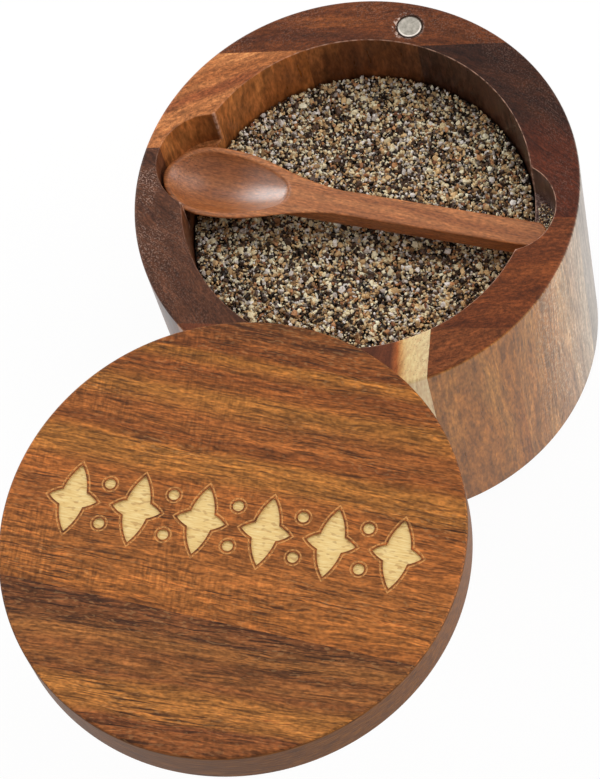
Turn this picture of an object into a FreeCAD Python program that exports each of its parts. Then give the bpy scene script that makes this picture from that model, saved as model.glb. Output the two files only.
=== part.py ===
import FreeCAD, Part
import math
import os

import Sketcher
from FreeCAD import Placement, Rotation, Vector

# Round wooden pepper cellar with a swivel lid, a magnet catch and a spoon.
# Millimetres, Z up. The origin is the centre of the underside. The lid turns
# on a pin at -Y, the catch is at +Y, and the lid is modelled swung open.

DIMENSIONS = {
    # Turned body
    "body_diameter": 102.0,
    "body_height": 69.0,
    "cavity_diameter": 80.0,
    "floor_thickness": 10.0,
    "floor_corner": 3.0,
    "foot_chamfer": 1.0,
    "rim_easing": 0.6,
    "mouth_easing": 0.4,
    # Two round notches in the rim, on which the spoon lies
    "notch_depth": 11.6,
    "bowl_notch_radius": 12.3,
    "bowl_notch_x": -35.4,
    "bowl_notch_y": 0.8,
    "handle_notch_radius": 11.3,
    "handle_notch_x": 34.4,
    "handle_notch_y": 3.0,
    # Glue joints of the body, across and along the boards, which are turned,
    # the back block a little further than the rest
    "grain_turn": 11.1,
    "back_turn": 13.7,
    "back_joint": 37.8,
    "left_joint": 10.8,
    "right_joint": -6.5,
    "front_joint": -34.5,
    "front_butt": 19.8,
    "stock_margin": 4.0,
    # Lid
    "lid_diameter": 101.0,
    "lid_thickness": 11.5,
    "lid_gap": 0.4,
    "lid_easing": 0.6,
    "lid_joint": -20.0,
    # Pivot pin, glued into the body, with a running fit in the lid
    "pivot_radius": 46.0,
    "pin_diameter": 5.0,
    "pin_in_body": 18.0,
    "pin_in_lid": 7.5,
    "pin_chamfer": 0.4,
    "running_clearance": 0.05,
    # Disc magnets of the catch
    "catch_x": 0.6,
    "catch_y": 44.6,
    "magnet_diameter": 6.0,
    "magnet_thickness": 3.0,
    "magnet_chamfer": 0.2,
    "glue_clearance": 0.05,
    # Spoon, measured along it from the middle of the cavity
    "spoon_top": 63.5,
    "spoon_offset": -0.72,
    "spoon_turn": 1.25,
    "handle_thickness": 6.1,
    "handle_width": 6.4,
    "handle_end": 44.2,
    "handle_end_corner": 2.7,
    "handle_rounding": 2.0,
    "keel_start": -28.5,
    "bowl_tip": -46.8,
    "bowl_middle": -35.0,
    "bowl_width": 18.4,
    "belly_axis": 2.9,
    "belly_long_radius": 49.0,
    "neck_radius": 70.0,
    "neck_width": 6.1,
    "hollow_tip": -45.4,
    "hollow_end": -16.3,
    "hollow_depth": 4.8,
    "hollow_axis": 4.0,
    "hollow_end_radius": 5.0,
    "hollow_end_slope": 50,
    # Filling
    "pepper_level": 54.1,
    "pepper_clearance": 0.1,
    "mound_height": 1.0,
    "mound_width": 7.6,
    "mound_top_width": 2.4,
    "mound_spacing": 9.4,
    "mound_twist": 17,
    "mounds_round_middle": 6,
}


class Size:
    """A number together with the sheet formula that it comes from."""

    def __init__(self, value, formula):
        self.value = value
        self.formula = formula

    def __add__(self, other):
        return Size(self.value + number(other), f"({self.formula} + {text(other)})")

    def __radd__(self, other):
        return Size(other + self.value, f"({other} + {self.formula})")

    def __sub__(self, other):
        return Size(self.value - number(other), f"({self.formula} - {text(other)})")

    def __rsub__(self, other):
        return Size(other - self.value, f"({other} - {self.formula})")

    def __mul__(self, other):
        return Size(self.value * number(other), f"({self.formula} * {text(other)})")

    def __rmul__(self, other):
        return Size(other * self.value, f"({other} * {self.formula})")

    def __truediv__(self, other):
        return Size(self.value / number(other), f"({self.formula} / {text(other)})")

    def __neg__(self):
        return Size(-self.value, f"(0 - {self.formula})")


def number(quantity):
    return quantity.value if isinstance(quantity, Size) else quantity


def text(quantity):
    return quantity.formula if isinstance(quantity, Size) else str(quantity)


def size(name):
    return Size(DIMENSIONS[name], f"sizes.{name}")


def root(quantity):
    return Size(math.sqrt(quantity.value), f"sqrt({quantity.formula})")


def sine(angle):
    return Size(math.sin(math.radians(angle.value)), f"sin({angle.formula} * 1 deg)")


def cosine(angle):
    return Size(math.cos(math.radians(angle.value)), f"cos({angle.formula} * 1 deg)")


def bind(thing, path, quantity, unit=""):
    """Bind a property to the sheet if the quantity comes from the sheet."""
    if isinstance(quantity, Size):
        thing.setExpression(path, quantity.formula + unit)


def fill_sheet(doc):
    """The spreadsheet with one named cell for each driving dimension."""
    sheet = doc.addObject("Spreadsheet::Sheet", "sizes")
    for row, (name, value) in enumerate(DIMENSIONS.items(), start=1):
        sheet.set(f"A{row}", name)
        sheet.set(f"B{row}", str(value))
        sheet.setAlias(f"B{row}", name)
    doc.recompute()


def place(part, x=0, y=0, z=0, turn=0):
    """Put a part at x, y, z, turned about the upright axis."""
    upright = Rotation(Vector(0, 0, 1), number(turn))
    part.Placement = Placement(Vector(number(x), number(y), number(z)), upright)
    bind(part, "Placement.Base.x", x)
    bind(part, "Placement.Base.y", y)
    bind(part, "Placement.Base.z", z)
    bind(part, "Placement.Rotation.Angle", turn, " * 1 deg")


def new_body(doc, name):
    body = doc.addObject("PartDesign::Body", name)
    body.Label = name
    return body


def new_sketch(body, name, role, lift=0):
    """A sketch on one of the body's own origin planes, lifted along its y or z."""
    sketch = body.newObject("Sketcher::SketchObject", name)
    plane = next(item for item in body.Origin.OriginFeatures if item.Role == role)
    sketch.AttachmentSupport = [(plane, "")]
    sketch.MapMode = "FlatFace"
    along = "z" if role == "XY_Plane" else "y"
    offset = Vector(0, 0, number(lift)) if along == "z" else Vector(0, number(lift), 0)
    sketch.AttachmentOffset = Placement(offset, Rotation())
    bind(sketch, f"AttachmentOffset.Base.{along}", lift)
    return sketch


def add_bound(sketch, kind, *where):
    """Add a constraint whose last argument is its size."""
    *places, quantity = where
    index = sketch.addConstraint(Sketcher.Constraint(kind, *places, number(quantity)))
    bind(sketch, f"Constraints[{index}]", quantity)


def pin_point(sketch, edge, end, x, y):
    """Hold the end of an edge at x, y from the sketch's origin."""
    horizontal_axis = -1
    upright_axis = -2
    if number(x) == 0:
        sketch.addConstraint(Sketcher.Constraint("PointOnObject", edge, end, upright_axis))
    else:
        add_bound(sketch, "DistanceX", -1, 1, edge, end, x)
    if number(y) == 0:
        sketch.addConstraint(Sketcher.Constraint("PointOnObject", edge, end, horizontal_axis))
    else:
        add_bound(sketch, "DistanceY", -1, 1, edge, end, y)


def arc_between(start, end, bend):
    """The arc from start to end with radius bend, which turns left if positive."""
    radius = abs(bend)
    chord = end - start
    middle = (start + end) * 0.5
    reach = math.sqrt(max(radius ** 2 - (chord.Length / 2) ** 2, 0.0))
    left = Vector(-chord.y, chord.x, 0).normalize()
    centre = middle + left * math.copysign(reach, bend)
    first, last = (start, end) if bend > 0 else (end, start)
    angles = [math.atan2(point.y - centre.y, point.x - centre.x) for point in (first, last)]
    return Part.ArcOfCircle(Part.Circle(centre, Vector(0, 0, 1), radius), *angles)


def draw_outline(sketch, corners):
    """Draw a closed outline through corners of the form (x, y, bend).

    The bend is the radius of the arc that arrives at the corner, positive where
    the outline turns left, or None where a straight edge arrives.
    """
    points = [Vector(number(x), number(y), 0) for x, y, bend in corners]
    arrivals = []
    for index, (x, y, bend) in enumerate(corners):
        start = points[index - 1]
        end = points[index]
        if bend is None:
            curve = Part.LineSegment(start, end)
        else:
            curve = arc_between(start, end, number(bend))
        edge = sketch.addGeometry(curve)
        turns_right = bend is not None and number(bend) < 0
        arrivals.append((edge, 2, 1) if turns_right else (edge, 1, 2))
    for index, (edge, start, end) in enumerate(arrivals):
        before, _, before_end = arrivals[index - 1]
        sketch.addConstraint(Sketcher.Constraint("Coincident", before, before_end, edge, start))
    for (edge, _, end), (x, y, bend) in zip(arrivals, corners):
        pin_point(sketch, edge, end, x, y)
        if bend is not None:
            add_bound(sketch, "Radius", edge, bend if number(bend) > 0 else -bend)


def draw_circle(sketch, x, y, radius):
    centre = Vector(number(x), number(y), 0)
    edge = sketch.addGeometry(Part.Circle(centre, Vector(0, 0, 1), number(radius)))
    pin_point(sketch, edge, 3, x, y)
    add_bound(sketch, "Radius", edge, radius)


def pad(body, sketch, name, length, downwards=False):
    feature = body.newObject("PartDesign::Pad", name)
    feature.Profile = sketch
    feature.Length = number(length)
    feature.Reversed = downwards
    bind(feature, "Length", length)


def pocket(body, sketch, name, length, upwards=False):
    """Cut a sketch into the body and make sure that it took material away."""
    body.Document.recompute()
    before = body.Shape.Volume
    feature = body.newObject("PartDesign::Pocket", name)
    feature.Profile = sketch
    feature.Length = number(length)
    feature.Reversed = upwards
    bind(feature, "Length", length)
    body.Document.recompute()
    assert feature.Shape.Volume < before, f"{name} cuts nothing"


def turn_profile(body, sketch, name, axis, kind="PartDesign::Revolution"):
    feature = body.newObject(kind, name)
    feature.Profile = sketch
    feature.ReferenceAxis = (sketch, [axis])
    feature.Angle = 360
    return feature


def ease_edges(body, name, reach, wanted, kind="PartDesign::Chamfer"):
    """Chamfer or round every edge of the body for which wanted(edge) holds."""
    body.Document.recompute()
    base = body.Tip
    edges = base.Shape.Edges
    names = [f"Edge{index}" for index, edge in enumerate(edges, start=1) if wanted(edge)]
    assert names, f"{name} finds no edge"
    feature = body.newObject(kind, name)
    feature.Base = (base, names)
    path = "Size" if kind == "PartDesign::Chamfer" else "Radius"
    setattr(feature, path, number(reach))
    bind(feature, path, reach)
    body.Document.recompute()


def lies_level(edge, height):
    """Whether the whole edge lies at one height."""
    box = edge.BoundBox
    return abs(box.ZMin - height) < 0.01 and abs(box.ZMax - height) < 0.01


def is_outer_circle(edge, diameter):
    return abs(edge.BoundBox.XLength - diameter) < 0.01


def turned_body(doc):
    """The whole body as it leaves the lathe and the router, before its blocks."""
    body = new_body(doc, "turned_body")
    outer = size("body_diameter") / 2
    mouth = size("cavity_diameter") / 2
    height = size("body_height")
    floor = size("floor_thickness")
    corner = size("floor_corner")
    foot = size("foot_chamfer")
    profile = new_sketch(body, "body_profile", "XZ_Plane")
    draw_outline(profile, [
        (0, 0, None),
        (outer - foot, 0, None),
        (outer, foot, None),
        (outer, height, None),
        (mouth, height, None),
        (mouth, floor + corner, None),
        (mouth - corner, floor, None),
        (0, floor, None),
    ])
    turn_profile(body, profile, "body_turning", "V_Axis")
    for name in ("bowl_notch", "handle_notch"):
        outline = new_sketch(body, name + "_outline", "XY_Plane", height)
        draw_circle(outline, size(name + "_x"), size(name + "_y"), size(name + "_radius"))
        pocket(body, outline, name, size("notch_depth"))
    diameter = DIMENSIONS["body_diameter"]
    top = DIMENSIONS["body_height"]

    def is_rim(edge):
        return lies_level(edge, top) and is_outer_circle(edge, diameter)

    def is_mouth(edge):
        return lies_level(edge, top) and edge.BoundBox.XLength < diameter - 5

    ease_edges(body, "mouth_arris", size("mouth_easing"), is_mouth)
    ease_edges(body, "rim_arris", size("rim_easing"), is_rim)
    recess = new_sketch(body, "rim_magnet_recess_outline", "XY_Plane", height)
    draw_circle(recess, size("catch_x"), size("catch_y"), size("magnet_diameter") / 2 + size("glue_clearance"))
    pocket(body, recess, "rim_magnet_recess", size("magnet_thickness"))
    hole = new_sketch(body, "pin_hole_outline", "XY_Plane", height)
    draw_circle(hole, 0, -size("pivot_radius"), size("pin_diameter") / 2 + size("glue_clearance"))
    pocket(body, hole, "pin_hole", size("pin_in_body"))
    return body


def turned_lid(doc):
    """The whole lid, with its bore and recess, before it is split into boards."""
    body = new_body(doc, "turned_lid")
    disc = new_sketch(body, "lid_outline", "XY_Plane")
    draw_circle(disc, 0, 0, size("lid_diameter") / 2)
    pad(body, disc, "lid_disc", size("lid_thickness"))
    ease_edges(body, "lid_arrises", size("lid_easing"), lambda edge: edge.BoundBox.ZLength < 0.01)
    bore = new_sketch(body, "pivot_bore_outline", "XY_Plane")
    draw_circle(bore, 0, size("pivot_radius"), size("pin_diameter") / 2 + size("running_clearance"))
    pocket(body, bore, "pivot_bore", size("pin_in_lid"), upwards=True)
    recess = new_sketch(body, "lid_magnet_recess_outline", "XY_Plane")
    draw_circle(recess, -size("catch_x"), -size("catch_y"), size("magnet_diameter") / 2 + size("glue_clearance"))
    pocket(body, recess, "lid_magnet_recess", size("magnet_thickness"), upwards=True)
    place(body, y=-2 * size("pivot_radius"), z=size("body_height") + size("lid_gap"))
    return body


def saw_from(doc, form, name, low, high, turn=0):
    """The piece of a turned form between two corners, given across the grain.

    The corners are (along, across, height) and are turned about the upright axis
    together with the glue joints.
    """
    box = doc.addObject("Part::Box", name + "_stock")
    for path, start, end in zip(("Length", "Width", "Height"), low, high):
        span = end - start
        setattr(box, path, number(span))
        bind(box, path, span)
    along, across, height = low
    if turn == 0:
        place(box, along, across, height)
    else:
        x = along * cosine(turn) - across * sine(turn)
        y = along * sine(turn) + across * cosine(turn)
        place(box, x, y, height, turn)
    piece = doc.addObject("Part::Common", name)
    piece.Label = name
    piece.Base = form
    piece.Tool = box
    return piece


def body_blocks(doc):
    """The seven glued blocks of the body, as the rim and the wall show them."""
    form = turned_body(doc)
    reach = size("body_diameter") / 2 + size("stock_margin")
    back = size("back_joint")
    left = size("left_joint")
    right = size("right_joint")
    front = size("front_joint")
    butt = size("front_butt")
    middle = 0 * butt
    below = -size("stock_margin")
    above = size("body_height") + size("stock_margin")
    back_block = saw_from(doc, form, "back_block", (-reach, back, below), (reach, reach, above), size("back_turn"))
    rest = doc.addObject("Part::Cut", "body_before_the_back_block")
    rest.Base = form
    rest.Tool = back_block.Tool
    spans = {
        "left_back_block": (-reach, middle, left, reach),
        "left_front_block": (-reach, middle, front, left),
        "right_back_block": (middle, reach, right, reach),
        "right_front_block": (middle, reach, front, right),
        "front_sapwood_block": (-reach, butt, -reach, front),
        "front_block": (butt, reach, -reach, front),
    }
    blocks = [back_block]
    for name, (along, along_end, across, across_end) in spans.items():
        low = (along, across, below)
        high = (along_end, across_end, above)
        blocks.append(saw_from(doc, rest, name, low, high, size("grain_turn")))
    return blocks


def lid_boards(doc):
    """The two glued boards of the lid."""
    form = turned_lid(doc)
    reach = size("lid_diameter") / 2 + size("stock_margin")
    centre = -2 * size("pivot_radius")
    joint = centre + size("lid_joint")
    below = size("body_height") - size("stock_margin")
    above = below + size("lid_thickness") + 3 * size("stock_margin")
    wide = saw_from(doc, form, "lid_wide_board", (-reach, joint, below), (reach, centre + reach, above))
    narrow = saw_from(doc, form, "lid_narrow_board", (-reach, centre - reach, below), (reach, joint, above))
    return [wide, narrow]


def small_rod(doc, name, diameter, length, chamfer):
    """An upright round piece with both ends chamfered, standing on its origin."""
    body = new_body(doc, name)
    outline = new_sketch(body, name + "_outline", "XY_Plane")
    draw_circle(outline, 0, 0, diameter / 2)
    pad(body, outline, name + "_round", length)
    ease_edges(body, name + "_ends", chamfer, lambda edge: edge.BoundBox.ZLength < 0.01)
    return body


def hardware(doc):
    """The pivot pin and the two disc magnets of the catch."""
    rim = size("body_height")
    pin_length = size("pin_in_body") + size("lid_gap") + size("pin_in_lid")
    pin = small_rod(doc, "pivot_pin", size("pin_diameter"), pin_length, size("pin_chamfer"))
    place(pin, y=-size("pivot_radius"), z=rim - size("pin_in_body"))
    thickness = size("magnet_thickness")
    magnets = []
    for name in ("rim_magnet", "lid_magnet"):
        magnets.append(small_rod(doc, name, size("magnet_diameter"), thickness, size("magnet_chamfer")))
    rim_magnet, lid_magnet = magnets
    place(rim_magnet, size("catch_x"), size("catch_y"), rim - thickness)
    place(lid_magnet, -size("catch_x"), -2 * size("pivot_radius") - size("catch_y"), rim + size("lid_gap"))
    return [pin, rim_magnet, lid_magnet]


def on_axis(deepest, radius):
    """How far an arc's end on the turning axis lies from its deepest point."""
    return root(deepest * (2 * radius - deepest))


def belly_outline():
    """The turned underside of the bowl and neck, about the belly axis.

    A short arc closes the tip, a long one narrows the bowl towards the handle,
    and a hollow arc flares it into the neck. All three are tangent in turn.
    """
    axis = size("belly_axis")
    middle = size("bowl_middle")
    half_width = size("bowl_width") / 2
    widest = root(half_width * half_width + axis * axis)
    rise = widest - axis
    reach = middle - size("bowl_tip")
    tip_radius = (reach * reach + rise * rise) / (2 * rise)
    long_radius = size("belly_long_radius")
    neck_radius = size("neck_radius")
    half_neck = size("neck_width") / 2
    narrowest = root(half_neck * half_neck + axis * axis)
    both = long_radius + neck_radius
    upright = narrowest + both - widest
    along = root(both * both - upright * upright)
    neck_end = middle + along
    share = long_radius / both
    meeting_x = middle + along * share
    meeting_y = widest - long_radius + upright * share
    return [
        (middle - on_axis(widest, tip_radius), 0, None),
        (middle, -widest, tip_radius),
        (meeting_x, -meeting_y, long_radius),
        (neck_end, -narrowest, -neck_radius),
        (neck_end, 0, None),
    ]


def hollow_outline():
    """The turned hollow of the bowl, about the hollow axis.

    One arc closes the tip and a long flat one runs to the neck, where a short
    arc rises to a blunt end. All three are tangent in turn.
    """
    axis = size("hollow_axis")
    middle = size("bowl_middle")
    depth = size("hollow_depth")
    tip_reach = middle - size("hollow_tip")
    tip_radius = (tip_reach * tip_reach + depth * depth) / (2 * depth)
    deepest = axis + depth
    end_radius = size("hollow_end_radius")
    end_slope = size("hollow_end_slope")
    along = size("hollow_end") - end_radius * sine(end_slope) - middle
    above_deepest = end_radius * cosine(end_slope) + depth
    flat_radius = (along * along + above_deepest * above_deepest - end_radius * end_radius) / (
        2 * (above_deepest - end_radius)
    )
    share = flat_radius / (flat_radius - end_radius)
    meeting_x = middle + along * share
    meeting_y = flat_radius - deepest - (flat_radius - above_deepest) * share
    end_below_axis = deepest - above_deepest
    end_x = middle + along + root(end_radius * end_radius - end_below_axis * end_below_axis)
    return [
        (middle - on_axis(deepest, tip_radius), 0, None),
        (middle, -deepest, tip_radius),
        (meeting_x, meeting_y, flat_radius),
        (end_x, 0, end_radius),
    ]


def spoon(doc):
    """The wooden spoon, lying across the mouth with its bowl at -X.

    Its own origin is in the top face, and it lies on the ledges of the notches.
    """
    body = new_body(doc, "spoon")
    half = size("handle_width") / 2
    start = size("keel_start")
    end = size("handle_end")
    corner = size("handle_end_corner")
    stick = new_sketch(body, "handle_outline", "XY_Plane")
    draw_outline(stick, [
        (start + half, -half, half),
        (end - corner, -half, None),
        (end, corner - half, corner),
        (end, half - corner, None),
        (end - corner, half, corner),
        (start + half, half, None),
        (start, 0, half),
    ])
    pad(body, stick, "handle", size("handle_thickness"), downwards=True)
    bottom = -DIMENSIONS["handle_thickness"]

    def is_lower(edge):
        return lies_level(edge, bottom)

    ease_edges(body, "handle_rounding", size("handle_rounding"), is_lower, "PartDesign::Fillet")
    belly = new_sketch(body, "belly_profile", "XZ_Plane", size("belly_axis"))
    draw_outline(belly, belly_outline())
    turn_profile(body, belly, "belly", "H_Axis")
    trim = new_sketch(body, "top_trim_outline", "XY_Plane")
    draw_circle(trim, 0, 0, size("cavity_diameter"))
    pocket(body, trim, "top_trim", size("bowl_width"), upwards=True)
    hollow = new_sketch(body, "hollow_profile", "XZ_Plane", size("hollow_axis"))
    draw_outline(hollow, hollow_outline())
    before = body.Shape.Volume
    groove = turn_profile(body, hollow, "hollow", "H_Axis", "PartDesign::Groove")
    doc.recompute()
    assert groove.Shape.Volume < before, "the hollow cuts nothing"
    place(body, 0, size("spoon_offset"), size("spoon_top"), size("spoon_turn"))
    return body


def low_mound(body, name, reach, way):
    """A low heap with four sloping sides on the pepper's top, at a distance and direction from the middle."""
    mound = body.newObject("PartDesign::AdditiveWedge", name)
    plane = next(item for item in body.Origin.OriginFeatures if item.Role == "XZ_Plane")
    mound.AttachmentSupport = [(plane, "")]
    mound.MapMode = "FlatFace"
    place_in_plane = {"x": reach * cosine(way), "y": size("pepper_level"), "z": reach * sine(way)}
    mound.AttachmentOffset = Placement(Vector(*map(number, place_in_plane.values())), Rotation())
    for axis, distance in place_in_plane.items():
        bind(mound, f"AttachmentOffset.Base.{axis}", distance)
    foot = size("mound_width") / 2
    top = size("mound_top_width") / 2
    spans = {
        "Xmin": -foot,
        "Xmax": foot,
        "Zmin": -foot,
        "Zmax": foot,
        "X2min": -top,
        "X2max": top,
        "Z2min": -top,
        "Z2max": top,
        "Ymin": 0 * foot,
        "Ymax": size("mound_height"),
    }
    for path, span in spans.items():
        setattr(mound, path, number(span))
        bind(mound, path, span)
    return mound


def ground_pepper(doc):
    """The filling as one solid below the spoon, with low mounds in rings on its top."""
    body = new_body(doc, "ground_pepper")
    wall = size("cavity_diameter") / 2 - size("pepper_clearance")
    floor = size("floor_thickness")
    corner = size("floor_corner")
    level = size("pepper_level")
    profile = new_sketch(body, "pepper_profile", "XZ_Plane")
    draw_outline(profile, [
        (0, floor, None),
        (wall - corner, floor, None),
        (wall, floor + corner, None),
        (wall, level, None),
        (0, level, None),
    ])
    turn_profile(body, profile, "pepper_heap", "V_Axis")
    spacing = size("mound_spacing")
    twist = size("mound_twist")
    low_mound(body, "middle_mound", 0 * spacing, twist)
    for ring, name in enumerate(("inner", "middle", "outer"), start=1):
        mound = low_mound(body, name + "_ring_mound", ring * spacing, ring * twist)
        pattern = body.newObject("PartDesign::PolarPattern", name + "_ring_of_mounds")
        pattern.Originals = [mound]
        pattern.Axis = (profile, ["V_Axis"])
        pattern.Angle = 360
        bind(pattern, "Occurrences", ring * size("mounds_round_middle"))
        body.Tip = pattern
    return body


def check(doc, parts):
    """Stop if any object failed or any part isn't one valid solid."""
    for item in doc.Objects:
        assert not {"Invalid", "Error"} & set(item.State), f"{item.Name} failed: {item.State}"
    for part in parts:
        shape = part.Shape
        assert not shape.isNull() and shape.isValid(), f"{part.Label} isn't valid"
        assert len(shape.Solids) == 1, f"{part.Label} has {len(shape.Solids)} solids"


def main():
    doc = FreeCAD.newDocument("pepper_cellar")
    fill_sheet(doc)
    parts = body_blocks(doc) + lid_boards(doc) + hardware(doc)
    parts.append(spoon(doc))
    parts.append(ground_pepper(doc))
    doc.recompute()
    check(doc, parts)
    os.makedirs("parts", exist_ok=True)
    for part in parts:
        part.Shape.exportStep(f"parts/{part.Label}.step")
        box = part.Shape.BoundBox
        print(f"{part.Label}: {part.Shape.Volume / 1000:.2f} cm3, x {box.XMin:.1f} to {box.XMax:.1f}, "
              f"y {box.YMin:.1f} to {box.YMax:.1f}, z {box.ZMin:.1f} to {box.ZMax:.1f}")


main()
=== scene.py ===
"""Round wooden pepper cellar with a swivel lid and a spoon: looks, light and camera."""

import math

import bmesh
import bpy
import numpy as np
from mathutils import Matrix, Vector


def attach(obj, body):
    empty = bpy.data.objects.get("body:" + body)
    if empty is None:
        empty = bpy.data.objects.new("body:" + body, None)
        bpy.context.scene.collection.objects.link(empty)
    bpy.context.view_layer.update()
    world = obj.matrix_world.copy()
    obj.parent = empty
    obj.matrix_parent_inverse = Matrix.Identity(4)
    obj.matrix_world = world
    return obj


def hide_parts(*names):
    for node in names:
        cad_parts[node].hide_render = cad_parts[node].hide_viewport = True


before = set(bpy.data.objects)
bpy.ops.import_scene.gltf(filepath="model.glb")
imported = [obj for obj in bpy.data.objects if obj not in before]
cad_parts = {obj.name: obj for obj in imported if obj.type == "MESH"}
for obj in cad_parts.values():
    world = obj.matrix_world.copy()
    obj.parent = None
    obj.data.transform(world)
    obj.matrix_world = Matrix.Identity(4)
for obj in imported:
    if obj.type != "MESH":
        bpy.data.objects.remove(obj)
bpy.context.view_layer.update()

MM = 0.001

# The turned body, in millimetres from the centre of its underside.
BODY_RADIUS = 51.0
BODY_HEIGHT = 69.0
MOUTH_RADIUS = 40.0
CAVITY_FLOOR = 10.0
FLOOR_CORNER = 3.0
FOOT_CHAMFER = 1.0
RIM_ROUNDING = 0.8
MOUTH_ROUNDING = 0.4
LEDGE = 57.4
BOWL_NOTCH = (-35.4, 0.8, 12.3)
HANDLE_NOTCH = (34.4, 3.0, 11.3)
SPOON_TOP = 63.5

# Glue joints: each joint's direction across its plane, and the plane's distance from the axis.
GRAIN_TURN = math.radians(11.1)
BACK_TURN = math.radians(13.7)
QUARTER = math.pi / 2
BACK_JOINT = (QUARTER + BACK_TURN, 37.8)
LEFT_JOINT = (QUARTER + GRAIN_TURN, 10.8)
RIGHT_JOINT = (QUARTER + GRAIN_TURN, -6.5)
FRONT_JOINT = (QUARTER + GRAIN_TURN, -34.5)
MIDDLE_JOINT = (GRAIN_TURN, 0.0)
BUTT_JOINT = (GRAIN_TURN, 19.8)

# The lid, swung open to the front.
LID_RADIUS = 50.5
LID_BOTTOM = 69.4
LID_TOP = 80.9
LID_ROUNDING = 0.7
LID_CENTRE = -92.0
LID_JOINT = (QUARTER, -112.0)
PIN_PLACE = (0.0, -46.0)
PIN_BORE = 2.55
MAGNET_BORE = 3.05
MAGNET_DEPTH = 3.05
RIM_MAGNET = (0.6, 44.6)
LID_MAGNET = (-0.6, -136.6)

# The ornament let into the lid: six crossed leaves in a row.
MOTIFS = 6
MOTIF_PITCH = 14.4
LEAF_HEIGHT = 7.8
LEAF_HEIGHT_BULGE = 2.7
LEAF_WIDTH = 5.3
LEAF_WIDTH_BULGE = 2.2
DOT_RADIUS = 1.15
DOT_HEIGHT = 4.7
ORNAMENT_RISE = 1.7
ORNAMENT_TILT = math.radians(2.2)
ORNAMENT_DEPTH = 0.35

# The pepper.
PEPPER_RADIUS = 39.7
PEPPER_LEVEL = 53.4
MOUND_HEIGHT = 1.0
MOUND_WIDTH = 7.6
MOUND_SPACING = 9.4
MOUND_TWIST = 17.0
MOUNDS_ROUND_MIDDLE = 6


def tone(red, green, blue):
    """A screen colour as the shader's linear colour."""
    linear = []
    for part in (red, green, blue):
        share = part / 255
        linear.append(share / 12.92 if share <= 0.04045 else ((share + 0.055) / 1.055) ** 2.4)
    return (*linear, 1.0)


class Wire:
    """A socket that carries a value, so that sums on it read as sums."""

    def __init__(self, finish, socket):
        self.finish = finish
        self.socket = socket

    def maths(self, operation, *values):
        return self.finish.node("ShaderNodeMath", {"operation": operation}, dict(enumerate(values)))

    def __add__(self, other):
        return self.maths("ADD", self, other)

    __radd__ = __add__

    def __sub__(self, other):
        return self.maths("SUBTRACT", self, other)

    def __rsub__(self, other):
        return self.maths("SUBTRACT", other, self)

    def __mul__(self, other):
        return self.maths("MULTIPLY", self, other)

    __rmul__ = __mul__

    def __truediv__(self, other):
        return self.maths("DIVIDE", self, other)

    def __pow__(self, other):
        return self.maths("POWER", self, other)

    def __gt__(self, other):
        return self.maths("GREATER_THAN", self, other)

    def __lt__(self, other):
        return self.maths("LESS_THAN", self, other)

    def __abs__(self):
        return self.maths("ABSOLUTE", self)

    def least(self, other):
        return self.maths("MINIMUM", self, other)

    def most(self, other):
        return self.maths("MAXIMUM", self, other)


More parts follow.
